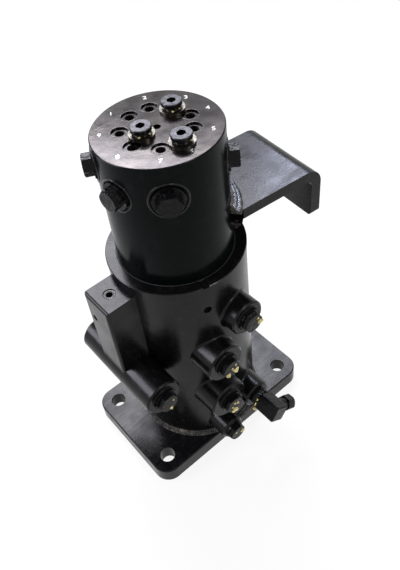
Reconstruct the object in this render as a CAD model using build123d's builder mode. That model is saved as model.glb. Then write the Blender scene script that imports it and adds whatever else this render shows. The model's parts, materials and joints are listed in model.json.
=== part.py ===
"""Hydraulic rotary union (centre swivel joint) for a slewing machine.

Units are millimetres, +Z is up, the origin is the centre of the mounting flange's underside.
The housing stands still on its flange; the rotor turns in it without limit about +Z.
"""
import os
from math import cos, radians, sin, sqrt

from build123d import *

os.makedirs("parts", exist_ok=True)

# ---------------------------------------------------------------- clearances
RUN_FIT = 0.05          # radial running clearance between rotor and housing
AX_FIT = 0.1            # axial running clearance between rotor and housing
SEAT = 0.05             # radial clearance of pieces that sit still in each other

# ---------------------------------------------------------------- mounting flange
FLANGE_LENGTH = 266.0
FLANGE_WIDTH = 170.0
FLANGE_THICK = 24.0
FLANGE_CORNER_R = 22.0
FLANGE_BOLT_R = 10.5
FLANGE_EDGE_DIST = 24.6
FLANGE_EDGE_CHAMFER = 1.5
BOLT_SPACING_X = FLANGE_LENGTH - 2 * FLANGE_EDGE_DIST
BOLT_SPACING_Y = FLANGE_WIDTH - 2 * FLANGE_EDGE_DIST

# ---------------------------------------------------------------- housing
BARREL_R = 84.0
BARREL_HEIGHT = 296.6
BORE_R = 50.0
SPIGOT_STEP = 12.0      # how far the spigot in the flange stands in from the barrel's side
SPIGOT_R = BARREL_R - SPIGOT_STEP
BARREL_TOP = FLANGE_THICK + BARREL_HEIGHT
HEAD_STEP = 14.0        # how far the rotor's head stands in from the barrel's side
HEAD_R = BARREL_R - HEAD_STEP
BASE_WELD_LEG = 5.0

RIM_R = BARREL_R + 0.6
RIM_THICK = 5.4
DUST_SEAL_WALL = 2.0
RIM_BORE_R = HEAD_R + DUST_SEAL_WALL
RIM_CHAMFER = 0.8
RIM_NOTCH_ANGLE = -105.0
RIM_NOTCH_WIDTH = 8.0
RIM_NOTCH_DEPTH = 1.6
RIM_TOP = BARREL_TOP + RIM_THICK
DUST_SEAL_HEIGHT = RIM_THICK - 0.7

WASHER_INSET = 4.0
WASHER_R = HEAD_R - WASHER_INSET
WASHER_THICK = 3.9
WASHER_PROUD = 0.3      # how far the thrust washer stands above the barrel's top
WASHER_FLOOR = BARREL_TOP + WASHER_PROUD - WASHER_THICK

# ---------------------------------------------------------------- port bosses, all facing -Y
BOSS_PROUD = 20.0       # how far the boss faces stand out from the barrel's front
BOSS_FACE_Y = -(BARREL_R + BOSS_PROUD)
BOSS_ROOT_Y = -(BORE_R + 10.0)
BOSS_CHAMFER = 2.0
BOSS_ROOT_FILLET = 3.0
# name, x, z, boss radius, thread radius, hexagon across flats
BOSSES = [
    ("e", -22.0, 50.5, 17.5, 8.2, 22.0),
    ("d", 26.0, 83.3, 20.0, 8.2, 24.0),
    ("c", -22.5, 123.5, 28.0, 10.4, 24.0),
    ("b", -22.5, 204.5, 26.5, 10.4, 24.0),
    ("a", 16.3, 258.3, 23.5, 10.4, 24.0),
]
THREAD_DEPTH = 18.0
OIL_WAY_R = 4.2

# ---------------------------------------------------------------- side lug and cross boss
LUG_REACH = 36.5        # how far the lug stands out from the barrel's side
LUG_OUT = BARREL_R + LUG_REACH
LUG_IN = BORE_R + 10.0
LUG_HALF_WIDTH = 24.0
LUG_DROP = 8.9
LUG_TOP = BARREL_TOP - LUG_DROP
LUG_FILLET = 4.0
CROSS_INSET = 20.0
CROSS_X = -(LUG_OUT - CROSS_INSET)
CROSS_Z = 181.0
CROSS_R = 25.0
CROSS_FRONT = 76.0
CROSS_BACK = 72.0
CROSS_END_CHAMFER = 6.0
CROSS_THREAD_R = 10.4
CROSS_HEX = 24.0
CROSS_WAY_R = 6.0
CROSS_WAY_END = 20.0
LUG_HOLE_R = 4.25
LUG_HOLE_DEPTH = 20.0
LUG_HOLE_INSET = 20.5
LUG_SIDE_HOLE_Y = 10.9
LUG_SIDE_HOLE_DROP = 35.0
LUG_SPOT_R = 8.0
LUG_SPOT_DEPTH = 1.0

# ---------------------------------------------------------------- oil galleries and seals
GALLERY_WIDTH = 10.0
GALLERY_DEPTH = 5.5
SEAL_WIDTH = 6.0
SEAL_DEPTH = 5.5
SEAL_SIDE_PLAY = 0.1
SEAL_END_STEP = 16.0

# ---------------------------------------------------------------- foot of the housing
CAP_WALL = 10.0
CAP_R = SPIGOT_R - CAP_WALL
CAP_THICK = 5.0
CAP_LIFT = 3.5
CAP_LEDGE = 2.0
CAP_ORING_DEPTH = 2.5
CAP_ORING_WIDTH = 2.6
CIRCLIP_THICK = 1.6
CIRCLIP_GROOVE_DEPTH = 2.0
CIRCLIP_IN = 6.0
CIRCLIP_GAP = 14.0
WELL_R = CAP_R - CAP_LEDGE
WELL_FLOOR = CAP_LIFT + CAP_THICK
WELL_TOP = 20.3

# ---------------------------------------------------------------- rotor
HEAD_HEIGHT = 166.0
HEAD_CHAMFER = 1.2
STEM_R = BORE_R - RUN_FIT
STEM_END = WELL_TOP - AX_FIT
HEAD_BOTTOM = BARREL_TOP + WASHER_PROUD + AX_FIT
HEAD_TOP = HEAD_BOTTOM + HEAD_HEIGHT

PLATE_GAP = 2.0
PLATE_R = WELL_R - PLATE_GAP
PLATE_THICK = 8.0
SCREW_COUNT = 4
SCREW_CIRCLE_R = 28.0
SCREW_R = 4.0
SCREW_LENGTH = 20.0
SCREW_HEAD_R = 6.5
SCREW_HEAD_HEIGHT = 5.0
SCREW_SINK = 0.5

# axial ports in the head's top face: angle, and the boss or cross port it feeds
AXIAL_R = 38.0
AXIAL_MOUTH_R = 9.2
AXIAL_MOUTH_DEPTH = 2.0
AXIAL_THREAD_R = 5.25
AXIAL_THREAD_DEPTH = 16.0
AXIAL_WAY_R = 4.4
AXIAL_PORTS = [(101.3, "a"), (64.5, "b"), (-13.0, "cross"), (-49.9, "c"), (-122.2, "d"), (-167.6, "e"),
               (146.2, "side")]
EYE_HOLE_R = 4.25
EYE_HOLE_DEPTH = 25.0

# collared socket plugs on the top face: name, x, y
TOP_PLUGS = [("top_plug_1", 30.5, 12.3), ("top_plug_2", -19.1, -0.6), ("top_plug_3", 0.4, -40.7)]
TOP_CAP_R = 11.2
TOP_CAP_HEIGHT = 4.5
TOP_CAP_CHAMFER = 0.8
TOP_NECK_R = 8.0
TOP_NECK_HEIGHT = 4.0
TOP_COLLAR_R = 13.8
TOP_COLLAR_HEIGHT = 3.0
TOP_SHANK_R = 6.0
TOP_SHANK_LENGTH = 14.0
TOP_SOCKET = 9.0
TOP_SOCKET_DEPTH = 6.0

# side plugs around the head: name, angle, drop below the top face, flange radius, thread radius, across flats
SIDE_PLUGS = [
    ("head_plug_1", -122.2, 40.5, 17.5, 10.4, 24.0),
    ("head_plug_2", -170.0, 41.5, 16.0, 8.2, 22.0),
    ("head_plug_3", 152.0, 28.0, 16.0, 8.2, 22.0),
    ("head_plug_4", -39.0, 44.0, 16.0, 8.2, 22.0),
]
SPOT_MARGIN = 1.5
SPOT_DEPTH = 0.3
SIDE_DRILL_IN = 36.0

# ---------------------------------------------------------------- hexagon plugs
WASHER_SEAL_THICK = 1.5
PLUG_FLANGE_THICK = 2.5
PORT_HEX_HEIGHT = 7.0
SIDE_HEX_HEIGHT = 10.5
PLUG_SHANK_LENGTH = 13.0
PLUG_WASHER_MARGIN = 1.0
BOSS_FLANGE_MARGIN = 5.0

# ---------------------------------------------------------------- elbow on boss d
ELBOW_NUT_THICK = 10.0
ELBOW_BLOCK_HALF = 12.0
ELBOW_BLOCK_LENGTH = 31.0
ELBOW_BLOCK_START = 12.0
ELBOW_NECK_R = 8.5
ELBOW_TURN = -36.0
ELBOW_ARM = 28.0
ELBOW_CAP_R = 11.5
ELBOW_CAP_LENGTH = 14.0
ELBOW_CORNER = 3.0

# ---------------------------------------------------------------- stop bracket
BRACKET_TURN = -5.1
BRACKET_HALF_WIDTH = 57.4
BRACKET_THICK = 14.0
BRACKET_RISE = 58.3      # how far the bracket's top stands above the head's underside
BRACKET_TOP = HEAD_BOTTOM + BRACKET_RISE
BRACKET_UNDER = BRACKET_TOP - BRACKET_THICK
BRACKET_BACK = HEAD_R - 10.0
BRACKET_REACH = 105.7
BRACKET_OUT = HEAD_R + BRACKET_REACH
BRACKET_IN = BRACKET_OUT - BRACKET_THICK
BRACKET_LEG = 70.1
BRACKET_LEG_BOTTOM = BRACKET_TOP - BRACKET_LEG
BRACKET_LEG_CORNER = 6.0
BRACKET_BEND_R = 22.0
BRACKET_WELD = 12.5
BRACKET_WELD_SPAN = 100.0

# ---------------------------------------------------------------- vent screw in the barrel
VENT_ANGLE = -105.9
VENT_DROP = 32.9
VENT_Z = BARREL_TOP - VENT_DROP
VENT_R = 5.0
VENT_SOCKET = 5.0
VENT_SOCKET_DEPTH = 4.0
VENT_DEPTH = 11.0
VENT_LENGTH = 8.0
VENT_START = BARREL_R - VENT_DEPTH


def boss_levels() -> dict[str, float]:
    """Height of each oil gallery, by the name of the port that it feeds."""
    levels = {boss[0]: boss[2] for boss in BOSSES}
    levels["cross"] = CROSS_Z
    return levels


LEVELS = boss_levels()
GALLERY_Z = sorted(LEVELS.values())
SEAL_Z = [GALLERY_Z[0] - SEAL_END_STEP]
for lower, upper in zip(GALLERY_Z[:-1], GALLERY_Z[1:]):
    SEAL_Z.append((lower + upper) / 2)
SEAL_Z.append(GALLERY_Z[-1] + SEAL_END_STEP)


def facing_y(x: float, y: float, z: float) -> Plane:
    """A plane at a point, looking out along -Y."""
    return Plane(origin=(x, y, z), x_dir=(1, 0, 0), z_dir=(0, -1, 0))


def facing_out(radius: float, angle: float, z: float) -> Plane:
    """A plane on a radius about the Z axis, looking outwards."""
    c, s = cos(radians(angle)), sin(radians(angle))
    return Plane(origin=(radius * c, radius * s, z), x_dir=(-s, c, 0), z_dir=(c, s, 0))


def side_seat(flange_r: float) -> float:
    """Distance from the axis to the spotface under a side plug's flange."""
    return sqrt(HEAD_R**2 - (flange_r + SPOT_MARGIN) ** 2) - SPOT_DEPTH


# ================================================================ housing body
with BuildPart() as housing:
    with BuildSketch(Plane.XZ):
        with BuildLine():
            Polyline(
                (CAP_R, 0), (SPIGOT_R - SEAT, 0), (SPIGOT_R - SEAT, FLANGE_THICK), (BARREL_R, FLANGE_THICK),
                (BARREL_R, BARREL_TOP), (WASHER_R, BARREL_TOP), (WASHER_R, WASHER_FLOOR),
                (BORE_R, WASHER_FLOOR), (BORE_R, WELL_TOP), (WELL_R, WELL_TOP), (WELL_R, WELL_FLOOR),
                (CAP_R, WELL_FLOOR), close=True)
        make_face()
    revolve(axis=Axis.Z)
    # galleries, seal grooves and the circlip groove, turned into the bore
    with BuildSketch(Plane.XZ):
        for z in GALLERY_Z:
            with Locations((BORE_R + GALLERY_DEPTH / 2 - 0.5, z)):
                Rectangle(GALLERY_DEPTH + 1, GALLERY_WIDTH)
        for z in SEAL_Z:
            with Locations((BORE_R + SEAL_DEPTH / 2 - 0.5, z)):
                Rectangle(SEAL_DEPTH + 1, SEAL_WIDTH + SEAL_SIDE_PLAY)
        with Locations((CAP_R + CIRCLIP_GROOVE_DEPTH / 2 - 0.5, CAP_LIFT - CIRCLIP_THICK / 2)):
            Rectangle(CIRCLIP_GROOVE_DEPTH + 1, CIRCLIP_THICK + 0.1)
    revolve(axis=Axis.Z, mode=Mode.SUBTRACT)
    # port bosses
    for name, x, z, radius, thread_r, hex_af in BOSSES:
        with BuildSketch(facing_y(x, BOSS_FACE_Y, z)):
            Circle(radius)
        extrude(amount=-(BOSS_ROOT_Y - BOSS_FACE_Y))
    rims = housing.edges().filter_by(GeomType.CIRCLE).group_by(Axis.Y)[0]
    chamfer(rims, BOSS_CHAMFER)
    fillet(housing.edges().filter_by(GeomType.BSPLINE), BOSS_ROOT_FILLET)
    # lug beside the barrel and the cross boss at its foot
    with BuildSketch(Plane.XY.offset(CROSS_Z)):
        with Locations((-(LUG_OUT + LUG_IN) / 2, 0)):
            Rectangle(LUG_OUT - LUG_IN, 2 * LUG_HALF_WIDTH)
    extrude(amount=LUG_TOP - CROSS_Z)
    lug_edges = housing.edges().filter_by(Axis.Z).filter_by_position(Axis.X, -LUG_OUT - 1, -LUG_OUT + 1)
    lug_edges += housing.edges().filter_by(Axis.Y).filter_by_position(Axis.X, -LUG_OUT - 1, -LUG_OUT + 1)
    fillet(lug_edges.filter_by_position(Axis.Z, CROSS_Z + LUG_FILLET, LUG_TOP + 1), LUG_FILLET)
    with BuildSketch(facing_y(CROSS_X, -CROSS_FRONT, CROSS_Z)):
        Circle(CROSS_R - BOSS_CHAMFER)
    extrude(amount=-BOSS_CHAMFER, taper=-45)
    with BuildSketch(facing_y(CROSS_X, -CROSS_FRONT + BOSS_CHAMFER, CROSS_Z)):
        Circle(CROSS_R)
    extrude(amount=-(CROSS_FRONT + CROSS_BACK - BOSS_CHAMFER - CROSS_END_CHAMFER))
    with BuildSketch(facing_y(CROSS_X, CROSS_BACK - CROSS_END_CHAMFER, CROSS_Z)):
        Circle(CROSS_R)
    extrude(amount=-CROSS_END_CHAMFER, taper=45)
    # port threads and oil ways
    for name, x, z, radius, thread_r, hex_af in BOSSES:
        with BuildSketch(facing_y(x, BOSS_FACE_Y, z)):
            Circle(thread_r)
        extrude(amount=-THREAD_DEPTH, mode=Mode.SUBTRACT)
        with BuildSketch(facing_y(x, BOSS_FACE_Y, z)):
            Circle(OIL_WAY_R)
        extrude(amount=BOSS_FACE_Y + sqrt(BORE_R**2 - x**2) - 1, mode=Mode.SUBTRACT)
    with BuildSketch(facing_y(CROSS_X, -CROSS_FRONT, CROSS_Z)):
        Circle(CROSS_THREAD_R)
    extrude(amount=-THREAD_DEPTH, mode=Mode.SUBTRACT)
    with BuildSketch(facing_y(CROSS_X, -CROSS_FRONT, CROSS_Z)):
        Circle(CROSS_WAY_R)
    extrude(amount=-(CROSS_FRONT + CROSS_WAY_END), mode=Mode.SUBTRACT)
    with BuildSketch(Plane(origin=(CROSS_X, 0, CROSS_Z), x_dir=(0, 1, 0), z_dir=(1, 0, 0))):
        Circle(OIL_WAY_R)
    extrude(amount=-CROSS_X - BORE_R + 1, mode=Mode.SUBTRACT)
    # threaded holes in the lug's top and outer face
    with BuildSketch(Plane.XY.offset(LUG_TOP)):
        with Locations((-LUG_OUT + LUG_HOLE_INSET, 0)):
            Circle(LUG_HOLE_R)
    extrude(amount=-LUG_HOLE_DEPTH, mode=Mode.SUBTRACT)
    with BuildSketch(Plane.XY.offset(LUG_TOP)):
        with Locations((-LUG_OUT + LUG_HOLE_INSET, 0)):
            Circle(LUG_SPOT_R)
    extrude(amount=-LUG_SPOT_DEPTH, mode=Mode.SUBTRACT)
    side_plane = Plane(origin=(-LUG_OUT, LUG_SIDE_HOLE_Y, LUG_TOP - LUG_SIDE_HOLE_DROP), z_dir=(-1, 0, 0))
    with BuildSketch(side_plane):
        Circle(LUG_HOLE_R)
    extrude(amount=-LUG_HOLE_DEPTH, mode=Mode.SUBTRACT)
    # vent screw hole
    with BuildSketch(facing_out(VENT_START, VENT_ANGLE, VENT_Z)):
        Circle(VENT_R)
    extrude(amount=VENT_DEPTH + 1, mode=Mode.SUBTRACT)
housing.part.label = "housing_body"
export_step(housing.part, "parts/housing_body.step")

# ================================================================ mounting flange and its weld
with BuildPart() as flange:
    with BuildSketch():
        RectangleRounded(FLANGE_LENGTH, FLANGE_WIDTH, FLANGE_CORNER_R)
        Circle(SPIGOT_R, mode=Mode.SUBTRACT)
        with GridLocations(BOLT_SPACING_X, BOLT_SPACING_Y, 2, 2):
            Circle(FLANGE_BOLT_R, mode=Mode.SUBTRACT)
    extrude(amount=FLANGE_THICK)
    chamfer(flange.faces().sort_by(Axis.Z)[-1].outer_wire().edges(), FLANGE_EDGE_CHAMFER)
flange.part.label = "mounting_flange"
export_step(flange.part, "parts/mounting_flange.step")

with BuildPart() as base_weld:
    with BuildSketch(Plane.XZ):
        with BuildLine():
            Polyline((BARREL_R, FLANGE_THICK), (BARREL_R + BASE_WELD_LEG, FLANGE_THICK),
                     (BARREL_R, FLANGE_THICK + BASE_WELD_LEG), close=True)
        make_face()
    revolve(axis=Axis.Z)
base_weld.part.label = "base_weld"
export_step(base_weld.part, "parts/base_weld.step")

# ================================================================ rim ring, dust seal, thrust washer
with BuildPart() as rim:
    with BuildSketch(Plane.XY.offset(BARREL_TOP)):
        Circle(RIM_R)
        Circle(RIM_BORE_R, mode=Mode.SUBTRACT)
    extrude(amount=RIM_THICK)
    chamfer(rim.faces().sort_by(Axis.Z)[-1].outer_wire().edges(), RIM_CHAMFER)
    with BuildSketch(facing_out(RIM_R + 1, RIM_NOTCH_ANGLE, RIM_TOP)):
        Rectangle(RIM_NOTCH_WIDTH, 2 * RIM_NOTCH_DEPTH)
    extrude(amount=-(RIM_R - RIM_BORE_R + 2), mode=Mode.SUBTRACT)
rim.part.label = "rim_ring"
export_step(rim.part, "parts/rim_ring.step")

with BuildPart() as dust_seal:
    with BuildSketch(Plane.XY.offset(BARREL_TOP)):
        Circle(RIM_BORE_R - SEAT)
        Circle(HEAD_R + RUN_FIT, mode=Mode.SUBTRACT)
    extrude(amount=DUST_SEAL_HEIGHT)
dust_seal.part.label = "dust_seal"
export_step(dust_seal.part, "parts/dust_seal.step")

with BuildPart() as thrust_washer:
    with BuildSketch(Plane.XY.offset(WASHER_FLOOR)):
        Circle(WASHER_R - SEAT)
        Circle(BORE_R + 0.3, mode=Mode.SUBTRACT)
    extrude(amount=WASHER_THICK)
thrust_washer.part.label = "thrust_washer"
export_step(thrust_washer.part, "parts/thrust_washer.step")

# ================================================================ rotary seals
for index, z in enumerate(SEAL_Z, start=1):
    with BuildPart() as seal:
        with BuildSketch(Plane.XY.offset(z - SEAL_WIDTH / 2)):
            Circle(BORE_R + SEAL_DEPTH - SEAT)
            Circle(BORE_R, mode=Mode.SUBTRACT)
        extrude(amount=SEAL_WIDTH)
    seal.part.label = f"rotary_seal_{index}"
    export_step(seal.part, f"parts/rotary_seal_{index}.step")

# ================================================================ foot cap, its O-ring and circlip
with BuildPart() as cap:
    with BuildSketch(Plane.XY.offset(CAP_LIFT)):
        Circle(CAP_R - SEAT)
    extrude(amount=CAP_THICK)
    with BuildSketch(Plane.XZ):
        with Locations((CAP_R - CAP_ORING_DEPTH / 2 + 0.5, CAP_LIFT + CAP_THICK / 2)):
            Rectangle(CAP_ORING_DEPTH + 1, CAP_ORING_WIDTH)
    revolve(axis=Axis.Z, mode=Mode.SUBTRACT)
cap.part.label = "foot_cap"
export_step(cap.part, "parts/foot_cap.step")

with BuildPart() as cap_oring:
    with BuildSketch(Plane.XY.offset(CAP_LIFT + CAP_THICK / 2 - CAP_ORING_WIDTH / 2)):
        Circle(CAP_R - SEAT)
        Circle(CAP_R - CAP_ORING_DEPTH + SEAT, mode=Mode.SUBTRACT)
    extrude(amount=CAP_ORING_WIDTH)
cap_oring.part.label = "foot_cap_oring"
export_step(cap_oring.part, "parts/foot_cap_oring.step")

with BuildPart() as circlip:
    with BuildSketch(Plane.XY.offset(CAP_LIFT - CIRCLIP_THICK)):
        Circle(CAP_R + CIRCLIP_GROOVE_DEPTH - SEAT)
        Circle(CAP_R - CIRCLIP_IN, mode=Mode.SUBTRACT)
        with Locations((CAP_R, 0)):
            Rectangle(4 * CIRCLIP_IN, CIRCLIP_GAP, mode=Mode.SUBTRACT)
    extrude(amount=CIRCLIP_THICK)
circlip.part.label = "foot_circlip"
export_step(circlip.part, "parts/foot_circlip.step")

# ================================================================ rotor
with BuildPart() as rotor:
    with BuildSketch(Plane.XZ):
        with BuildLine():
            Polyline((0, STEM_END), (STEM_R, STEM_END), (STEM_R, HEAD_BOTTOM), (HEAD_R, HEAD_BOTTOM),
                     (HEAD_R, HEAD_TOP - HEAD_CHAMFER), (HEAD_R - HEAD_CHAMFER, HEAD_TOP), (0, HEAD_TOP),
                     close=True)
        make_face()
    revolve(axis=Axis.Z)
    for angle, feeds in AXIAL_PORTS:
        bottom = LEVELS.get(feeds, HEAD_TOP - SIDE_PLUGS[2][2])
        with BuildSketch(Plane.XY.offset(HEAD_TOP)):
            with PolarLocations(AXIAL_R, 1, start_angle=angle):
                Circle(AXIAL_THREAD_R)
        extrude(amount=-AXIAL_THREAD_DEPTH, mode=Mode.SUBTRACT)
        with BuildSketch(Plane.XY.offset(HEAD_TOP)):
            with PolarLocations(AXIAL_R, 1, start_angle=angle):
                Circle(AXIAL_MOUTH_R)
        extrude(amount=-AXIAL_MOUTH_DEPTH, mode=Mode.SUBTRACT)
        with BuildSketch(Plane.XY.offset(HEAD_TOP)):
            with PolarLocations(AXIAL_R, 1, start_angle=angle):
                Circle(AXIAL_WAY_R)
        extrude(amount=-(HEAD_TOP - bottom + AXIAL_WAY_R), mode=Mode.SUBTRACT)
    for angle, feeds in AXIAL_PORTS[:-1]:
        with BuildSketch(facing_out(STEM_R + 1, angle, LEVELS[feeds])):
            Circle(AXIAL_WAY_R)
        extrude(amount=-(STEM_R + 1 - AXIAL_R), mode=Mode.SUBTRACT)
    with BuildSketch(Plane.XY.offset(HEAD_TOP)):
        Circle(EYE_HOLE_R)
    extrude(amount=-EYE_HOLE_DEPTH, mode=Mode.SUBTRACT)
    for name, px, py in TOP_PLUGS:
        with BuildSketch(Plane((px, py, HEAD_TOP))):
            Circle(TOP_SHANK_R)
        extrude(amount=-TOP_SHANK_LENGTH - 1, mode=Mode.SUBTRACT)
    for name, angle, drop, flange_r, thread_r, hex_af in SIDE_PLUGS:
        seat = side_seat(flange_r)
        with BuildSketch(facing_out(seat, angle, HEAD_TOP - drop)):
            Circle(flange_r + SPOT_MARGIN)
        extrude(amount=HEAD_R - seat + 1, mode=Mode.SUBTRACT)
        with BuildSketch(facing_out(seat, angle, HEAD_TOP - drop)):
            Circle(thread_r)
        extrude(amount=-PLUG_SHANK_LENGTH - 1, mode=Mode.SUBTRACT)
        with BuildSketch(facing_out(seat, angle, HEAD_TOP - drop)):
            Circle(OIL_WAY_R)
        extrude(amount=-(seat - SIDE_DRILL_IN), mode=Mode.SUBTRACT)
    with BuildSketch(Plane.XY.offset(STEM_END)):
        with PolarLocations(SCREW_CIRCLE_R, SCREW_COUNT, start_angle=45):
            Circle(SCREW_R)
    extrude(amount=SCREW_LENGTH, mode=Mode.SUBTRACT)
rotor.part.label = "rotor"
export_step(rotor.part, "parts/rotor.step")

# ================================================================ retaining plate and screws
with BuildPart() as plate:
    with BuildSketch(Plane.XY.offset(STEM_END - PLATE_THICK)):
        Circle(PLATE_R)
        with PolarLocations(SCREW_CIRCLE_R, SCREW_COUNT, start_angle=45):
            Circle(SCREW_R + 0.2, mode=Mode.SUBTRACT)
    extrude(amount=PLATE_THICK)
    with BuildSketch(Plane.XY.offset(STEM_END - PLATE_THICK)):
        with PolarLocations(SCREW_CIRCLE_R, SCREW_COUNT, start_angle=45):
            Circle(SCREW_HEAD_R + 0.5)
    extrude(amount=SCREW_HEAD_HEIGHT + SCREW_SINK, mode=Mode.SUBTRACT)
plate.part.label = "retaining_plate"
export_step(plate.part, "parts/retaining_plate.step")

for index in range(SCREW_COUNT):
    turn = 45 + 360 * index / SCREW_COUNT
    sx = SCREW_CIRCLE_R * cos(radians(turn))
    sy = SCREW_CIRCLE_R * sin(radians(turn))
    seat_z = STEM_END - PLATE_THICK + SCREW_SINK + SCREW_HEAD_HEIGHT
    with BuildPart() as screw:
        with BuildSketch(Plane((sx, sy, seat_z - SCREW_HEAD_HEIGHT))):
            Circle(SCREW_HEAD_R)
            RegularPolygon(SCREW_R, 6, mode=Mode.SUBTRACT)
        extrude(amount=SCREW_HEAD_HEIGHT - 2)
        with BuildSketch(Plane((sx, sy, seat_z - 2))):
            Circle(SCREW_HEAD_R)
        extrude(amount=2)
        with BuildSketch(Plane((sx, sy, seat_z))):
            Circle(SCREW_R - SEAT)
        extrude(amount=SCREW_LENGTH)
    screw.part.label = f"retaining_screw_{index + 1}"
    export_step(screw.part, f"parts/retaining_screw_{index + 1}.step")

# ================================================================ collared socket plugs on the head
neck_z = HEAD_TOP + TOP_COLLAR_HEIGHT
cap_z = neck_z + TOP_NECK_HEIGHT
for name, px, py in TOP_PLUGS:
    with BuildPart() as collared:
        with BuildSketch(Plane((px, py, HEAD_TOP - TOP_SHANK_LENGTH))):
            Circle(TOP_SHANK_R - SEAT)
        extrude(amount=TOP_SHANK_LENGTH)
        with BuildSketch(Plane((px, py, HEAD_TOP))):
            Circle(TOP_COLLAR_R)
        extrude(amount=TOP_COLLAR_HEIGHT)
        with BuildSketch(Plane((px, py, neck_z))):
            Circle(TOP_NECK_R)
        extrude(amount=TOP_NECK_HEIGHT)
        with BuildSketch(Plane((px, py, cap_z))):
            Circle(TOP_CAP_R)
        extrude(amount=TOP_CAP_HEIGHT)
        chamfer(collared.edges().filter_by(GeomType.CIRCLE).group_by(Axis.Z)[-1], TOP_CAP_CHAMFER)
        with BuildSketch(Plane((px, py, cap_z + TOP_CAP_HEIGHT))):
            RegularPolygon(TOP_SOCKET / 2, 6, major_radius=False)
        extrude(amount=-TOP_SOCKET_DEPTH, mode=Mode.SUBTRACT)
    collared.part.label = name
    export_step(collared.part, f"parts/{name}.step")

# ================================================================ hexagon plugs with sealing washers
# name, seat plane, flange radius, thread radius, across flats, hexagon height
plugs = []
for name, x, z, radius, thread_r, hex_af in BOSSES:
    if name != "d":
        seat_plane = facing_y(x, BOSS_FACE_Y, z)
        flange_r = thread_r + BOSS_FLANGE_MARGIN
        plugs.append((f"port_plug_{name}", seat_plane, flange_r, thread_r, hex_af, PORT_HEX_HEIGHT))
cross_plane = facing_y(CROSS_X, -CROSS_FRONT, CROSS_Z)
cross_flange_r = CROSS_THREAD_R + BOSS_FLANGE_MARGIN
plugs.append(("cross_plug", cross_plane, cross_flange_r, CROSS_THREAD_R, CROSS_HEX, PORT_HEX_HEIGHT))
for name, angle, drop, flange_r, thread_r, hex_af in SIDE_PLUGS:
    seat_plane = facing_out(side_seat(flange_r), angle, HEAD_TOP - drop)
    plugs.append((name, seat_plane, flange_r, thread_r, hex_af, SIDE_HEX_HEIGHT))

for name, seat_plane, flange_r, thread_r, hex_af, hex_height in plugs:
    with BuildPart() as sealing:
        with BuildSketch(seat_plane):
            Circle(flange_r - PLUG_WASHER_MARGIN)
            Circle(thread_r, mode=Mode.SUBTRACT)
        extrude(amount=WASHER_SEAL_THICK)
    sealing.part.label = f"{name}_washer"
    export_step(sealing.part, f"parts/{name}_washer.step")

    with BuildPart() as plug:
        with BuildSketch(seat_plane.offset(WASHER_SEAL_THICK)):
            RegularPolygon(hex_af / 2, 6, major_radius=False)
        extrude(amount=PLUG_FLANGE_THICK + hex_height)
        with BuildSketch(seat_plane.offset(WASHER_SEAL_THICK + PLUG_FLANGE_THICK + hex_height)):
            Circle(hex_af * 0.5)
        extrude(amount=-(PLUG_FLANGE_THICK + hex_height), taper=-60, mode=Mode.INTERSECT)
        with BuildSketch(seat_plane.offset(WASHER_SEAL_THICK)):
            Circle(flange_r)
        extrude(amount=PLUG_FLANGE_THICK)
        with BuildSketch(seat_plane.offset(WASHER_SEAL_THICK)):
            Circle(thread_r - SEAT)
        extrude(amount=-(WASHER_SEAL_THICK + PLUG_SHANK_LENGTH))
    plug.part.label = name
    export_step(plug.part, f"parts/{name}.step")

# ================================================================ elbow on boss d
d_name, d_x, d_z, d_r, d_thread, d_hex = BOSSES[1]
with BuildPart() as elbow_nut:
    with BuildSketch(facing_y(d_x, BOSS_FACE_Y, d_z)):
        RegularPolygon(d_hex / 2, 6, major_radius=False)
        Circle(d_thread, mode=Mode.SUBTRACT)
    extrude(amount=ELBOW_NUT_THICK)
elbow_nut.part.label = "elbow_nut"
export_step(elbow_nut.part, "parts/elbow_nut.step")

turn = radians(ELBOW_TURN)
block_y = BOSS_FACE_Y - ELBOW_BLOCK_START
arm_y = block_y - ELBOW_BLOCK_LENGTH / 2
arm_dir = (cos(turn), 0, sin(turn))
arm_end = (d_x + ELBOW_ARM * cos(turn), arm_y, d_z + ELBOW_ARM * sin(turn))
with BuildPart() as elbow:
    block_plane = Plane(origin=(d_x, block_y, d_z), x_dir=arm_dir, z_dir=(0, -1, 0))
    with BuildSketch(block_plane):
        RectangleRounded(2 * ELBOW_BLOCK_HALF, 2 * ELBOW_BLOCK_HALF, ELBOW_CORNER)
    extrude(amount=ELBOW_BLOCK_LENGTH)
    chamfer(elbow.faces().sort_by(Axis.Y)[0].edges(), 1.5)
    with BuildSketch(Plane(origin=(d_x, arm_y, d_z), x_dir=(0, 1, 0), z_dir=arm_dir)):
        Circle(ELBOW_NECK_R)
    extrude(amount=ELBOW_ARM)
    with BuildSketch(block_plane):
        Circle(d_thread - SEAT)
    extrude(amount=-(ELBOW_BLOCK_START + PLUG_SHANK_LENGTH))
    with BuildSketch(block_plane):
        Circle(OIL_WAY_R - 1)
    extrude(amount=-(ELBOW_BLOCK_START + PLUG_SHANK_LENGTH), mode=Mode.SUBTRACT)
elbow.part.label = "elbow_fitting"
export_step(elbow.part, "parts/elbow_fitting.step")

with BuildPart() as elbow_cap:
    with BuildSketch(Plane(origin=arm_end, x_dir=(0, 1, 0), z_dir=arm_dir)):
        RegularPolygon(ELBOW_CAP_R, 6)
    extrude(amount=ELBOW_CAP_LENGTH)
    with BuildSketch(Plane(origin=arm_end, x_dir=(0, 1, 0), z_dir=arm_dir).offset(ELBOW_CAP_LENGTH)):
        Circle(ELBOW_CAP_R * 0.88)
    extrude(amount=-ELBOW_CAP_LENGTH, taper=-40, mode=Mode.INTERSECT)
elbow_cap.part.label = "elbow_cap"
export_step(elbow_cap.part, "parts/elbow_cap.step")

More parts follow.
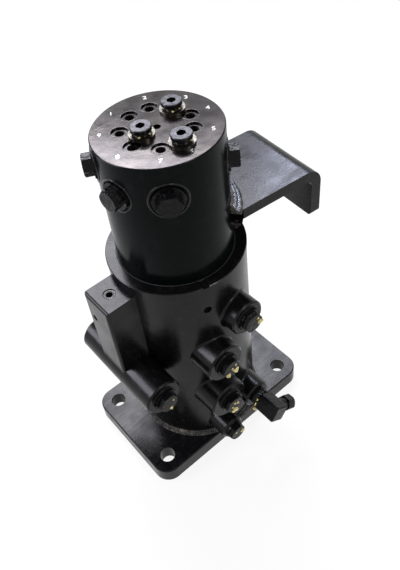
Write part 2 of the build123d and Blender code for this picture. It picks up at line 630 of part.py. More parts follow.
# ================================================================ vent screw
with BuildPart() as vent:
    with BuildSketch(facing_out(VENT_START, VENT_ANGLE, VENT_Z)):
        Circle(VENT_R - SEAT)
    extrude(amount=VENT_LENGTH)
    with BuildSketch(facing_out(VENT_START + VENT_LENGTH, VENT_ANGLE, VENT_Z)):
        RegularPolygon(VENT_SOCKET / 2, 6, major_radius=False)
    extrude(amount=-VENT_SOCKET_DEPTH, mode=Mode.SUBTRACT)
vent.part.label = "vent_screw"
export_step(vent.part, "parts/vent_screw.step")

# ================================================================ stop bracket and its welds
bt = radians(BRACKET_TURN)
bracket_plane = Plane(origin=(0, 0, 0), x_dir=(cos(bt), sin(bt), 0), z_dir=(sin(bt), -cos(bt), 0))
with BuildPart() as bracket:
    with BuildSketch(bracket_plane):
        with BuildLine():
            Polyline((BRACKET_BACK, BRACKET_TOP), (BRACKET_OUT - BRACKET_BEND_R, BRACKET_TOP))
            RadiusArc((BRACKET_OUT - BRACKET_BEND_R, BRACKET_TOP), (BRACKET_OUT, BRACKET_TOP - BRACKET_BEND_R),
                      BRACKET_BEND_R)
            Polyline((BRACKET_OUT, BRACKET_TOP - BRACKET_BEND_R), (BRACKET_OUT, BRACKET_LEG_BOTTOM),
                     (BRACKET_IN, BRACKET_LEG_BOTTOM), (BRACKET_IN, BRACKET_TOP - BRACKET_BEND_R))
            RadiusArc((BRACKET_IN, BRACKET_TOP - BRACKET_BEND_R), (BRACKET_OUT - BRACKET_BEND_R, BRACKET_UNDER),
                      -(BRACKET_BEND_R - BRACKET_THICK))
            Polyline((BRACKET_OUT - BRACKET_BEND_R, BRACKET_UNDER), (BRACKET_BACK, BRACKET_UNDER),
                     (BRACKET_BACK, BRACKET_TOP))
        make_face()
    extrude(amount=BRACKET_HALF_WIDTH, both=True)
    leg_corners = bracket.edges().filter_by(Axis((0, 0, 0), (cos(bt), sin(bt), 0))).group_by(Axis.Z)[0]
    fillet(leg_corners, BRACKET_LEG_CORNER)
    with BuildSketch(Plane.XY.offset(BRACKET_UNDER - 1)):
        Circle(HEAD_R + SEAT)
    extrude(amount=BRACKET_THICK + 2, mode=Mode.SUBTRACT)
bracket.part.label = "stop_bracket"
export_step(bracket.part, "parts/stop_bracket.step")

weld_start = radians(BRACKET_TURN - BRACKET_WELD_SPAN / 2)
weld_plane = Plane(origin=(0, 0, 0), x_dir=(cos(weld_start), sin(weld_start), 0),
                   z_dir=(sin(weld_start), -cos(weld_start), 0))
with BuildPart() as weld_top:
    with BuildSketch(weld_plane):
        with BuildLine():
            Polyline((HEAD_R + SEAT, BRACKET_TOP), (HEAD_R + BRACKET_WELD, BRACKET_TOP),
                     (HEAD_R + SEAT, BRACKET_TOP + BRACKET_WELD), close=True)
        make_face()
    revolve(axis=Axis.Z, revolution_arc=BRACKET_WELD_SPAN)
weld_top.part.label = "bracket_weld_top"
export_step(weld_top.part, "parts/bracket_weld_top.step")

with BuildPart() as weld_under:
    with BuildSketch(weld_plane):
        with BuildLine():
            Polyline((HEAD_R + SEAT, BRACKET_UNDER), (HEAD_R + BRACKET_WELD, BRACKET_UNDER),
                     (HEAD_R + SEAT, BRACKET_UNDER - BRACKET_WELD), close=True)
        make_face()
    revolve(axis=Axis.Z, revolution_arc=BRACKET_WELD_SPAN)
weld_under.part.label = "bracket_weld_under"
export_step(weld_under.part, "parts/bracket_weld_under.step")
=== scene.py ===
"""Hydraulic rotary union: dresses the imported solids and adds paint, weld and thread detail.

The solids carry every size. This file gives them their finishes and lays on them what a
drawing leaves out: weld ripples, thread turns, stamped numbers and inspection paint.
"""
import json
import logging
import math
from collections.abc import Callable
from dataclasses import dataclass, field
from enum import Enum
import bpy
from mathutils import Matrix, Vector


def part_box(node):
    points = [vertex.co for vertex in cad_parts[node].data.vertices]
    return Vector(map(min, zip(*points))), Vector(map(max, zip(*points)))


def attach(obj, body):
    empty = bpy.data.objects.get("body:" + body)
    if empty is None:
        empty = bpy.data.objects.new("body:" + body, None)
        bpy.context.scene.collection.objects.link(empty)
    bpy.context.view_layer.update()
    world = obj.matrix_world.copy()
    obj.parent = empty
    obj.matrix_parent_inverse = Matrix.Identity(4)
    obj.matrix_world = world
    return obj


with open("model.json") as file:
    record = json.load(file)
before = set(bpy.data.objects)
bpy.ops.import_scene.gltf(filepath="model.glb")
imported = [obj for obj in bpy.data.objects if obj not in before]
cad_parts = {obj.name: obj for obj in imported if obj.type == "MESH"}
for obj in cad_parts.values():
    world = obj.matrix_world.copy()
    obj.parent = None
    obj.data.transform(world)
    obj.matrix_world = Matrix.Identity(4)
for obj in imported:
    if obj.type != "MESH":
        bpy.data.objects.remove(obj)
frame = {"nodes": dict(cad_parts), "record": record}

from fnmatch import fnmatch

import bmesh
import bpy
from mathutils import Matrix, Vector

log = logging.getLogger("rotary_union")
logging.basicConfig(level=logging.INFO, format="%(name)s: %(message)s")

MM = 0.001

BMesh = bmesh.types.BMesh
Material = bpy.types.Material
Node = bpy.types.Node
Object = bpy.types.Object
Socket = bpy.types.NodeSocket
Tree = bpy.types.NodeTree
Colour = tuple[float, float, float]
Point = tuple[float, float, float]
Place = Callable[[float, float, float], Vector]


class Body(Enum):
    """The two rigid bodies of the joint."""

    HOUSING = "housing"
    ROTOR = "rotor"


class Slot(Enum):
    """Finish slots of the record."""

    PAINT = "black_paint"
    ROTOR = "rotor_steel"
    PLUG = "black_plug"
    STEEL = "bare_steel"


# ------------------------------------------------------------------ node tree helpers


def new_material(name: str) -> tuple[Material, Tree, Node]:
    """Start an empty node material.

    Args:
        name: The material's name.

    Returns:
        The material, its node tree and its Principled shader node.
    """
    material = bpy.data.materials.new(name)
    material.use_nodes = True
    tree = material.node_tree
    tree.nodes.clear()
    output = tree.nodes.new("ShaderNodeOutputMaterial")
    shader = tree.nodes.new("ShaderNodeBsdfPrincipled")
    tree.links.new(shader.outputs["BSDF"], output.inputs["Surface"])
    return material, tree, shader


def object_coordinates(tree: Tree) -> Socket:
    """Return the Object coordinate socket that every pattern reads."""
    return tree.nodes.new("ShaderNodeTexCoord").outputs["Object"]


def noise(tree: Tree, where: Socket, scale: float, detail: float = 3.0,
          rough: float = 0.55) -> Socket:
    """Add a noise pattern.

    Args:
        tree: The node tree.
        where: Coordinates to sample at.
        scale: Features per metre.
        detail: Octaves.
        rough: How strong the fine octaves are.

    Returns:
        The grey output.
    """
    node = tree.nodes.new("ShaderNodeTexNoise")
    node.inputs["Scale"].default_value = scale
    node.inputs["Detail"].default_value = detail
    node.inputs["Roughness"].default_value = rough
    tree.links.new(where, node.inputs["Vector"])
    return node.outputs["Fac"]


def span(tree: Tree, value: Socket, low: float, high: float, to_low: float = 0.0,
         to_high: float = 1.0) -> Socket:
    """Remap a value from one range to another, clamped.

    Args:
        tree: The node tree.
        value: The value to remap.
        low: Where the input range starts.
        high: Where the input range ends.
        to_low: Output at low.
        to_high: Output at high.

    Returns:
        The remapped value.
    """
    node = tree.nodes.new("ShaderNodeMapRange")
    node.inputs["From Min"].default_value = low
    node.inputs["From Max"].default_value = high
    node.inputs["To Min"].default_value = to_low
    node.inputs["To Max"].default_value = to_high
    tree.links.new(value, node.inputs["Value"])
    return node.outputs["Result"]


def math_node(tree: Tree, operation: str, first: Socket | float,
              second: Socket | float = 0.0) -> Socket:
    """Add one arithmetic node.

    Args:
        tree: The node tree.
        operation: Name of the operation.
        first: First operand.
        second: Second operand.

    Returns:
        The result.
    """
    node = tree.nodes.new("ShaderNodeMath")
    node.operation = operation
    for index, value in enumerate((first, second)):
        if isinstance(value, (int, float)):
            node.inputs[index].default_value = value
        else:
            tree.links.new(value, node.inputs[index])
    return node.outputs["Value"]


def blend_colours(tree: Tree, fac: Socket, first: Colour | Socket,
                  second: Colour | Socket) -> Socket:
    """Mix two colours by a mask.

    Args:
        tree: The node tree.
        fac: Mask, 0 gives the first colour.
        first: First colour, or a colour socket.
        second: Second colour, or a colour socket.

    Returns:
        The mixed colour.
    """
    node = tree.nodes.new("ShaderNodeMix")
    node.data_type = "RGBA"
    tree.links.new(fac, node.inputs[0])
    for index, colour in ((6, first), (7, second)):
        if isinstance(colour, tuple):
            node.inputs[index].default_value = (*colour, 1.0)
        else:
            tree.links.new(colour, node.inputs[index])
    return node.outputs[2]


def add_bump(tree: Tree, shader: Node, height: Socket, distance: float, strength: float) -> None:
    """Give a shader a bump.

    Args:
        tree: The node tree.
        shader: The Principled node.
        height: Height pattern, 0 to 1.
        distance: Depth of the pattern in metres.
        strength: How much of it shows.
    """
    bump = tree.nodes.new("ShaderNodeBump")
    bump.inputs["Distance"].default_value = distance
    bump.inputs["Strength"].default_value = strength
    tree.links.new(height, bump.inputs["Height"])
    tree.links.new(bump.outputs["Normal"], shader.inputs["Normal"])


def colour_by(tree: Tree, shader: Node, mask: Socket, first: Colour | Socket,
              second: Colour | Socket) -> None:
    """Colour a shader with two colours mixed by a mask."""
    tree.links.new(blend_colours(tree, mask, first, second), shader.inputs["Base Color"])


def uneven_gloss(tree: Tree, shader: Node, scale: float, rough: float, extra: float) -> None:
    """Let the roughness wander over the surface.

    Args:
        tree: The node tree.
        shader: The Principled node.
        scale: Patches per metre.
        rough: Least roughness.
        extra: How much more the dullest patches have.
    """
    cloud = noise(tree, object_coordinates(tree), scale)
    tree.links.new(span(tree, cloud, 0.3, 0.7, rough, rough + extra), shader.inputs["Roughness"])


def axis_parts(tree: Tree, where: Socket) -> Node:
    """Split coordinates into X, Y and Z."""
    node = tree.nodes.new("ShaderNodeSeparateXYZ")
    tree.links.new(where, node.inputs["Vector"])
    return node


def radius_from_axis(tree: Tree, where: Socket) -> Socket:
    """Distance of a point from the axis of rotation."""
    parts = axis_parts(tree, where)
    squares = [math_node(tree, "MULTIPLY", parts.outputs[k], parts.outputs[k]) for k in (0, 1)]
    return math_node(tree, "SQRT", math_node(tree, "ADD", squares[0], squares[1]))


def seen_directly(tree: Tree) -> Socket:
    """A mask that is 1 for rays from the eye, from a gloss or through a clear piece."""
    ray = tree.nodes.new("ShaderNodeLightPath").outputs
    either = math_node(tree, "MAXIMUM", ray["Is Camera Ray"], ray["Is Glossy Ray"])
    return math_node(tree, "MAXIMUM", either, ray["Is Transmission Ray"])


# ------------------------------------------------------------------ finishes


@dataclass(frozen=True)
class BlackEnamel:
    """Brushed-on gloss black enamel over a casting or plate."""

    name: str = "black_enamel"
    deep: Colour = (0.0030, 0.0031, 0.0033)
    dusty: Colour = (0.010, 0.0098, 0.0105)
    gloss: float = 0.16
    dull: float = 0.34
    sand_grain: float = 420.0
    sand_depth: float = 0.00018
    run_scale: float = 26.0
    level: float = 0.155
    dust_scale: float = 95.0
    clean: float = 0.5
    dust_fade: float = 0.28
    peel_scale: float = 60.0
    peel_share: float = 1.6
    streaks: float = 0.0
    streak_scale: float = 210.0
    streak_stretch: float = 0.09
    streak_turn: float = 0.21

    def build(self) -> Material:
        """Make the material.

        Returns:
            The enamel, with orange peel, casting grain and thin dust.
        """
        material, tree, shader = new_material(self.name)
        where = object_coordinates(tree)
        cloud = noise(tree, where, self.run_scale, 4.0)
        dust = noise(tree, where, self.dust_scale, 5.0, 0.7)
        dust = span(tree, dust, self.clean, self.clean + self.dust_fade)
        if self.streaks > 0:
            brushed = tree.nodes.new("ShaderNodeMapping")
            brushed.inputs["Scale"].default_value = (self.streak_stretch, 1.0, 1.0)
            brushed.inputs["Rotation"].default_value = (0.0, 0.0, self.streak_turn)
            tree.links.new(where, brushed.inputs["Vector"])
            strokes = noise(tree, brushed.outputs["Vector"], self.streak_scale, 4.0, 0.65)
            strokes = math_node(tree, "SUBTRACT", strokes, 0.5)
            strokes = math_node(tree, "MULTIPLY", strokes, self.streaks)
            cloud = math_node(tree, "ADD", cloud, strokes)
            dust = math_node(tree, "ADD", dust, math_node(tree, "MULTIPLY", strokes, 0.8))
            dust = span(tree, dust, 0.0, 1.0)
        colour_by(tree, shader, dust, self.deep, self.dusty)
        rough = span(tree, cloud, 0.3, 0.75, self.gloss, self.dull)
        tree.links.new(rough, shader.inputs["Roughness"])
        peel = noise(tree, where, self.peel_scale, 2.0)
        grain = math_node(tree, "ADD", noise(tree, where, self.sand_grain, 4.0, 0.6),
                          math_node(tree, "MULTIPLY", peel, self.peel_share))
        add_bump(tree, shader, grain, self.sand_depth, 0.55)
        shader.inputs["Specular IOR Level"].default_value = self.level
        return material


@dataclass(frozen=True)
class MachinedHead:
    """Rotor finish: enamelled sides, an oiled turned top face.

    Drops are depths below the top face at which paint starts to give way to metal.
    """

    face_height: float
    name: str = "rotor_enamel_and_turned_face"
    enamel: Colour = (0.0020, 0.0029, 0.0029)
    enamel_dust: Colour = (0.005, 0.0068, 0.0068)
    bare: Colour = (0.046, 0.0415, 0.040)
    stained: Colour = (0.026, 0.024, 0.0245)
    feed: float = 2600.0
    ring_share: float = 0.05
    peel_share: float = 2.0
    relief: float = 0.00012
    face_drop: tuple[float, float] = (0.0006, 0.0003)
    mouth_drop: tuple[float, float] = (0.0024, 0.0022)
    mouth_reach: tuple[float, float] = (0.0525, 0.052)
    face_rough: tuple[float, float] = (0.15, 0.21)
    side_rough: tuple[float, float] = (0.13, 0.27)
    level: float = 0.045

    def build(self) -> Material:
        """Make the material.

        Returns:
            One material that is paint below the top edge and metal on the top face.
        """
        material, tree, shader = new_material(self.name)
        where = object_coordinates(tree)
        height = axis_parts(tree, where).outputs[2]
        radius = radius_from_axis(tree, where)
        top = span(tree, height, *(self.face_height - drop for drop in self.face_drop))
        mouth = span(tree, height, *(self.face_height - drop for drop in self.mouth_drop))
        inside = span(tree, radius, *self.mouth_reach)
        top = math_node(tree, "MAXIMUM", top, math_node(tree, "MULTIPLY", mouth, inside))
        stain = span(tree, noise(tree, where, 38.0, 5.0, 0.65), 0.35, 0.7)
        metal = blend_colours(tree, stain, self.bare, self.stained)
        dust = span(tree, noise(tree, where, 70.0, 4.0, 0.6), 0.52, 0.8)
        paint = blend_colours(tree, dust, self.enamel, self.enamel_dust)
        colour_by(tree, shader, top, paint, metal)
        tree.links.new(top, shader.inputs["Metallic"])
        side = span(tree, noise(tree, where, 20.0), 0.3, 0.75, *self.side_rough)
        face = span(tree, noise(tree, where, 55.0), 0.3, 0.75, *self.face_rough)
        mix = tree.nodes.new("ShaderNodeMix")
        tree.links.new(top, mix.inputs[0])
        tree.links.new(side, mix.inputs[2])
        tree.links.new(face, mix.inputs[3])
        tree.links.new(mix.outputs[0], shader.inputs["Roughness"])
        rings = math_node(tree, "SINE", math_node(tree, "MULTIPLY", radius, self.feed))
        rings = math_node(tree, "MULTIPLY", rings, top)
        rings = math_node(tree, "MULTIPLY", rings, self.ring_share)
        peel = math_node(tree, "MULTIPLY", noise(tree, where, 70.0), self.peel_share)
        add_bump(tree, shader, math_node(tree, "ADD", rings, peel), self.relief, 0.6)
        shader.inputs["Specular IOR Level"].default_value = self.level
        return material


@dataclass(frozen=True)
class PlugFinish:
    """Thick black paint on hexagon plugs, worn thin in random patches."""

    name: str = "plug_black"
    base: Colour = (0.004, 0.004, 0.0045)
    worn: Colour = (0.035, 0.031, 0.027)
    relief: float = 0.0012
    rough: float = 0.12
    level: float = 0.11
    metallic: float = 0.0

    def build(self) -> Material:
        """Make the material."""
        material, tree, shader = new_material(self.name)
        where = object_coordinates(tree)
        wear = span(tree, noise(tree, where, 240.0, 5.0, 0.7), 0.56, 0.72)
        colour_by(tree, shader, wear, self.base, self.worn)
        uneven_gloss(tree, shader, 160.0, self.rough, 0.16)
        fine = math_node(tree, "MULTIPLY", noise(tree, where, 420.0, 2.0), 0.3)
        lumps = math_node(tree, "ADD", noise(tree, where, 150.0, 2.0), fine)
        add_bump(tree, shader, lumps, self.relief, 0.7)
        shader.inputs["Specular IOR Level"].default_value = self.level
        shader.inputs["Metallic"].default_value = self.metallic
        return material


@dataclass(frozen=True)
class BareMetal:
    """Machined metal that stays bare and oiled. The port threads darken it as painted shade of
    their bores, and the bracket weld bead tints it with a painted reflection.
    """

    name: str
    bright: Colour
    dark: Colour
    rough: float = 0.32
    scale: float = 300.0

    def build(self) -> Material:
        """Make the material."""
        material, tree, shader = new_material(self.name)
        where = object_coordinates(tree)
        stain = span(tree, noise(tree, where, self.scale * 0.3, 4.0), 0.35, 0.7)
        colour_by(tree, shader, stain, self.bright, self.dark)
        uneven_gloss(tree, shader, self.scale, self.rough, 0.15)
        shader.inputs["Metallic"].default_value = 1.0
        add_bump(tree, shader, noise(tree, where, self.scale * 2.0, 2.0), 0.00006, 0.4)
        return material


@dataclass(frozen=True)
class CollaredPlug:
    """Top plugs: oiled dark steel caps over paler steel collars; the collars' pale tone is partly
    their own and partly painted light against the shade under the caps.
    """

    collar_top: float
    name: str = "collared_plug_steel"
    cap: Colour = (0.046, 0.046, 0.050)
    cap_dark: Colour = (0.020, 0.020, 0.022)
    # collar colour: paler steel, lightened further as painted light against the shade under the
    # cap
    collar: Colour = (0.13, 0.122, 0.105)
    collar_dark: Colour = (0.03, 0.028, 0.024)
    rough: float = 0.24

    def build(self) -> Material:
        """Make the material.

        Returns:
            One material that changes from collar to cap at the neck.
        """
        material, tree, shader = new_material(self.name)
        where = object_coordinates(tree)
        stain = span(tree, noise(tree, where, 190.0, 5.0, 0.7), 0.4, 0.66)
        upper = blend_colours(tree, stain, self.cap, self.cap_dark)
        collar_with_painted_light = blend_colours(tree, stain, self.collar, self.collar_dark)
        height = axis_parts(tree, where).outputs[2]
        above = span(tree, height, self.collar_top, self.collar_top + 0.0002)
        colour_by(tree, shader, above, collar_with_painted_light, upper)
        uneven_gloss(tree, shader, 260.0, self.rough, 0.14)
        shader.inputs["Metallic"].default_value = 1.0
        add_bump(tree, shader, noise(tree, where, 330.0), 0.0003, 0.5)
        return material


@dataclass(frozen=True)
class Elastomer:
    """Rubber or filled plastic of a seal."""

    name: str
    base: Colour
    bloom: Colour
    rough: float = 0.55

    def build(self) -> Material:
        """Make the material."""
        material, tree, shader = new_material(self.name)
        where = object_coordinates(tree)
        mask = span(tree, noise(tree, where, 130.0, 4.0), 0.45, 0.75)
        colour_by(tree, shader, mask, self.base, self.bloom)
        uneven_gloss(tree, shader, 260.0, self.rough, 0.2)
        add_bump(tree, shader, noise(tree, where, 500.0), 0.00005, 0.4)
        return material


@dataclass(frozen=True)
class MarkPaint:
    """Paint from a marker pen: inspection dabs or stamped numbers filled in."""

    name: str
    fresh: Colour
    thin: Colour
    rough: float = 0.35
    coat: float = 0.5

    def build(self) -> Material:
        """Make the material."""
        material, tree, shader = new_material(self.name)
        where = object_coordinates(tree)
        mask = span(tree, noise(tree, where, 700.0, 4.0, 0.7), 0.45, 0.62)
        colour_by(tree, shader, mask, self.fresh, self.thin)
        rough = span(tree, mask, 0.0, 1.0, self.rough, self.rough + 0.2)
        tree.links.new(rough, shader.inputs["Roughness"])
        add_bump(tree, shader, noise(tree, where, 420.0), 0.0003, 0.6)
        shader.inputs["Coat Weight"].default_value = self.coat
        return material


@dataclass(frozen=True)
class PaleFloor:
    """Floor that takes a soft shadow, white to the eye and in what gloss and glass show."""

    name: str = "pale_floor"
    shade: Colour = (0.80, 0.80, 0.80)
    white: float = 0.88
    half_size: float = 6.0
    fade: tuple[float, float] = (0.7, 1.3)

    def build(self) -> Material:
        """Make the material."""
        material, tree, shader = new_material(self.name)
        shader.inputs["Base Color"].default_value = (*self.shade, 1.0)
        shader.inputs["Roughness"].default_value = 0.9
        shader.inputs["Specular IOR Level"].default_value = 0.0
        glow = tree.nodes.new("ShaderNodeEmission")
        mix = tree.nodes.new("ShaderNodeMixShader")
        output = next(n for n in tree.nodes if n.type == "OUTPUT_MATERIAL")
        radius = radius_from_axis(tree, object_coordinates(tree))
        share = span(tree, radius, *self.fade, self.white, 1.0)
        tree.links.new(math_node(tree, "MULTIPLY", seen_directly(tree), share), mix.inputs[0])
        tree.links.new(shader.outputs["BSDF"], mix.inputs[1])
        tree.links.new(glow.outputs["Emission"], mix.inputs[2])
        tree.links.new(mix.outputs["Shader"], output.inputs["Surface"])
        return material


# ------------------------------------------------------------------ mesh helpers


def put(name: str, data: bpy.types.ID) -> Object:
    """Make an object and put it in the scene.

    Args:
        name: The object's name.
        data: Its mesh, curve, camera or light.

    Returns:
        The object.
    """
    thing = bpy.data.objects.new(name, data)
    bpy.context.scene.collection.objects.link(thing)
    return thing


def to_mesh(name: str, bm: BMesh) -> bpy.types.Mesh:
    """Turn a bmesh into a mesh and free it."""
    mesh = bpy.data.meshes.new(name)
    bm.to_mesh(mesh)
    bm.free()
    return mesh


def baked(maker: Object) -> bpy.types.Mesh:
    """Take an object out of the scene and keep the mesh that it makes."""
    graph = bpy.context.evaluated_depsgraph_get()
    mesh = bpy.data.meshes.new_from_object(maker.evaluated_get(graph))
    bpy.data.objects.remove(maker)
    return mesh


def add_piece(name: str, mesh: bpy.types.Mesh, body: Body) -> Object:
    """Put a mesh in the scene as a piece that rides on a body.

    Args:
        name: Piece name.
        mesh: Its mesh, placed in the shared frame.
        body: The body it moves with.

    Returns:
        The piece.
    """
    piece = put(name, mesh)
    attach(piece, body.value)
    log.info("%s: %d faces on %s", name, len(mesh.polygons), body.value)
    return piece


def add_mesh(name: str, bm: BMesh, material: Material, body: Body,
             smooth: bool = True) -> Object:
    """Turn a bmesh into a finished piece that rides on a body.

    Args:
        name: Piece name.
        bm: Its mesh, placed in the shared frame.
        material: Its finish.
        body: The body it moves with.
        smooth: Whether faces are shaded smooth.

    Returns:
        The piece.
    """
    mesh = to_mesh(name, bm)
    mesh.materials.append(material)
    for polygon in mesh.polygons:
        polygon.use_smooth = smooth
    return add_piece(name, mesh, body)


def add_ridge(bm: BMesh, place: Place, inner: float, outer: float, height: float,
              count: int = 56) -> None:
    """Add a low half-round ring.

    Args:
        bm: The mesh to add to.
        place: Gives the point at a radius, an angle in radians and a height above the seat.
        inner: Inner radius.
        outer: Outer radius.
        height: How far it stands up.
        count: Steps round it.
    """
    profile = ((0.0, -0.3), (0.12, 0.55), (0.5, 1.0), (0.88, 0.55), (1.0, -0.3))
    turns = [2 * math.pi * k / count for k in range(count)]
    rows = [[bm.verts.new(place(inner + (outer - inner) * across, turn, height * up))
             for across, up in profile] for turn in turns]
    for first, second in zip(rows, rows[1:] + rows[:1]):
        for k in range(len(profile)):
            after = (k + 1) % len(profile)
            bm.faces.new((first[k], first[after], second[after], second[k]))
    bmesh.ops.recalc_face_normals(bm, faces=bm.faces)


def on_level(centre: Vector, seat: float) -> Place:
    """Rule for points round a centre on a level face.

    Args:
        centre: The middle of the ring.
        seat: Height of the face.

    Returns:
        A rule that add_ridge can follow.
    """
    def place(radius: float, turn: float, up: float) -> Vector:
        """A point on the face."""
        return Vector((centre.x + radius * math.cos(turn), centre.y + radius * math.sin(turn),
                       seat + up))

    return place


def from_centre(node: str, centre: Vector) -> list[tuple[float, float]]:
    """Distance from a level centre, and height, of each point of a node's mesh."""
    return [(math.hypot(v.co.x - centre.x, v.co.y - centre.y), v.co.z)
            for v in frame["nodes"][node].data.vertices]


def top_ports() -> list[dict]:
    """The open ports of the rotor's top face, as the record states them."""
    return [m for m in frame["record"]["mounts"] if m["name"].startswith("top_port")]


def polar(radius: float, angle: float, height: float) -> Vector:
    """A point on a circle about the axis; the angle is in degrees."""
    turn = math.radians(angle)
    return Vector((radius * math.cos(turn), radius * math.sin(turn), height))


def middle(name: str) -> Vector:
    """Centre of a node's box at rest."""
    low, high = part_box(name)
    return (Vector(low) + Vector(high)) / 2


def half_height(name: str) -> float:
    """Half the height of a node's box, which is the flange radius of a level plug."""
    low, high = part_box(name)
    return (high[2] - low[2]) / 2


# ------------------------------------------------------------------ geometry node trees


def new_group(name: str, inputs: dict[str, str]) -> tuple[Tree, Node]:
    """Start a geometry node group.

    Args:
        name: The group's name.
        inputs: The kind of each input, by name.

    Returns:
        The group and the node that gives its inputs.
    """
    tree = bpy.data.node_groups.new(name, "GeometryNodeTree")
    face = tree.interface
    face.new_socket("Geometry", in_out="OUTPUT", socket_type="NodeSocketGeometry")
    face.new_socket("Geometry", in_out="INPUT", socket_type="NodeSocketGeometry")
    for label, kind in inputs.items():
        face.new_socket(label, in_out="INPUT", socket_type="NodeSocket" + kind)
    return tree, tree.nodes.new("NodeGroupInput")


def combine(tree: Tree, *parts: Socket | float | None) -> Socket:
    """Make a vector of up to three parts, where None leaves a zero."""
    node = tree.nodes.new("ShaderNodeCombineXYZ")
    for index, part in enumerate(parts):
        if isinstance(part, float):
            node.inputs[index].default_value = part
        elif part is not None:
            tree.links.new(part, node.inputs[index])
    return node.outputs[0]


def finish_group(tree: Tree, given: Node, shape: Socket) -> Socket:
    """Make a group's instances real and give them the finish it was handed."""
    real = tree.nodes.new("GeometryNodeRealizeInstances")
    tree.links.new(shape, real.inputs[0])
    paint = tree.nodes.new("GeometryNodeSetMaterial")
    tree.links.new(real.outputs[0], paint.inputs["Geometry"])
    tree.links.new(given.outputs["Finish"], paint.inputs["Material"])
    return paint.outputs[0]


@dataclass(frozen=True)
class RippleTree:
    """Geometry nodes that lay overlapping weld ripples along a circular arc."""

    name: str = "weld_ripples"
    wander: float = 0.12
    width: float = 0.62
    height: float = 0.72
    segments: int = 10
    rings: int = 7

    def build(self) -> Tree:
        """Make the tree.

        Returns:
            A tree with inputs for radius, height, arc, count, ripple size, seed and finish.
        """
        tree, given = new_group(self.name, {
            "Radius": "Float", "Height": "Float", "Start": "Float", "Sweep": "Float",
            "Count": "Int", "Size": "Float", "Seed": "Int", "Finish": "Material"})
        add, link, asked = tree.nodes.new, tree.links.new, given.outputs
        index = add("GeometryNodeInputIndex")
        points = add("GeometryNodePoints")
        link(asked["Count"], points.inputs["Count"])
        share = math_node(tree, "DIVIDE", index.outputs["Index"], asked["Count"])
        along = math_node(tree, "MULTIPLY", share, asked["Sweep"])
        turn = math_node(tree, "RADIANS", math_node(tree, "ADD", asked["Start"], along))
        wander = add("FunctionNodeRandomValue")
        wander.data_type = "FLOAT"
        wander.inputs[2].default_value = -self.wander
        wander.inputs[3].default_value = self.wander
        link(asked["Seed"], wander.inputs["Seed"])
        aside = math_node(tree, "MULTIPLY", wander.outputs[1], asked["Size"])
        reach = math_node(tree, "ADD", asked["Radius"], aside)
        x, y = (math_node(tree, "MULTIPLY", reach, math_node(tree, way, turn))
                for way in ("COSINE", "SINE"))
        link(combine(tree, x, y, asked["Height"]), points.inputs["Position"])
        bead = add("GeometryNodeMeshUVSphere")
        bead.inputs["Segments"].default_value = self.segments
        bead.inputs["Rings"].default_value = self.rings
        link(asked["Size"], bead.inputs["Radius"])
        lay = add("GeometryNodeInstanceOnPoints")
        link(points.outputs[0], lay.inputs["Points"])
        link(bead.outputs["Mesh"], lay.inputs["Instance"])
        link(combine(tree, None, None, turn), lay.inputs["Rotation"])
        squash = math_node(tree, "ADD", wander.outputs[1], self.height)
        link(combine(tree, 1.0, self.width, squash), lay.inputs["Scale"])
        smooth = add("GeometryNodeSetShadeSmooth")
        link(finish_group(tree, given, lay.outputs[0]), smooth.inputs[0])
        link(smooth.outputs[0], add("NodeGroupOutput").inputs[0])
        return tree


@dataclass(frozen=True)
class ThreadTree:
    """Geometry nodes that stack thread turns down the mouth of each round port."""

    name: str = "thread_turns"
    round_steps: int = 28
    wire_steps: int = 5

    def build(self) -> Tree:
        """Make the tree.

        Returns:
            A tree with inputs for port radius, pitch, turns, start height, wire size and finish.
        """
        tree, given = new_group(self.name, {
            "Radius": "Float", "Pitch": "Float", "Turns": "Int", "Depth": "Float",
            "Wire": "Float", "Finish": "Material"})
        add, link, asked = tree.nodes.new, tree.links.new, given.outputs
        ring, wire = (add("GeometryNodeCurvePrimitiveCircle") for _ in range(2))
        for circle, steps, size in ((ring, self.round_steps, "Radius"),
                                    (wire, self.wire_steps, "Wire")):
            circle.inputs["Resolution"].default_value = steps
            link(asked[size], circle.inputs["Radius"])
        tube = add("GeometryNodeCurveToMesh")
        link(ring.outputs["Curve"], tube.inputs["Curve"])
        link(wire.outputs["Curve"], tube.inputs["Profile Curve"])
        stack = add("GeometryNodeMeshLine")
        stack.mode = "OFFSET"
        link(asked["Turns"], stack.inputs["Count"])
        down = math_node(tree, "MULTIPLY", asked["Pitch"], -1.0)
        link(combine(tree, None, None, down), stack.inputs["Offset"])
        link(combine(tree, None, None, asked["Depth"]), stack.inputs["Start Location"])
        spots, ports = (add("GeometryNodeInstanceOnPoints") for _ in range(2))
        link(stack.outputs[0], spots.inputs["Points"])
        link(tube.outputs[0], spots.inputs["Instance"])
        link(asked["Geometry"], ports.inputs["Points"])
        link(spots.outputs[0], ports.inputs["Instance"])
        link(finish_group(tree, given, ports.outputs[0]), add("NodeGroupOutput").inputs[0])
        return tree


def grown(name: str, tree: Tree, settings: dict[str, object], body: Body,
          seeds: BMesh | None = None) -> Object:
    """Run a geometry node tree and keep its result as a plain piece.

    Args:
        name: Piece name.
        tree: The node tree.
        settings: Values by input name.
        body: The body it moves with.
        seeds: Points that the tree starts from, where it needs any.

    Returns:
        The piece.
    """
    seeds = bmesh.new() if seeds is None else seeds
    maker = put(name + "_maker", to_mesh(name + "_seed", seeds))
    modifier = maker.modifiers.new("grow", "NODES")
    modifier.node_group = tree
    for item in tree.interface.items_tree:
        if item.in_out == "INPUT" and item.name in settings:
            modifier[item.identifier] = settings[item.name]
    mesh = baked(maker)
    mesh.name = name
    return add_piece(name, mesh, body)


# ------------------------------------------------------------------ sub-assemblies


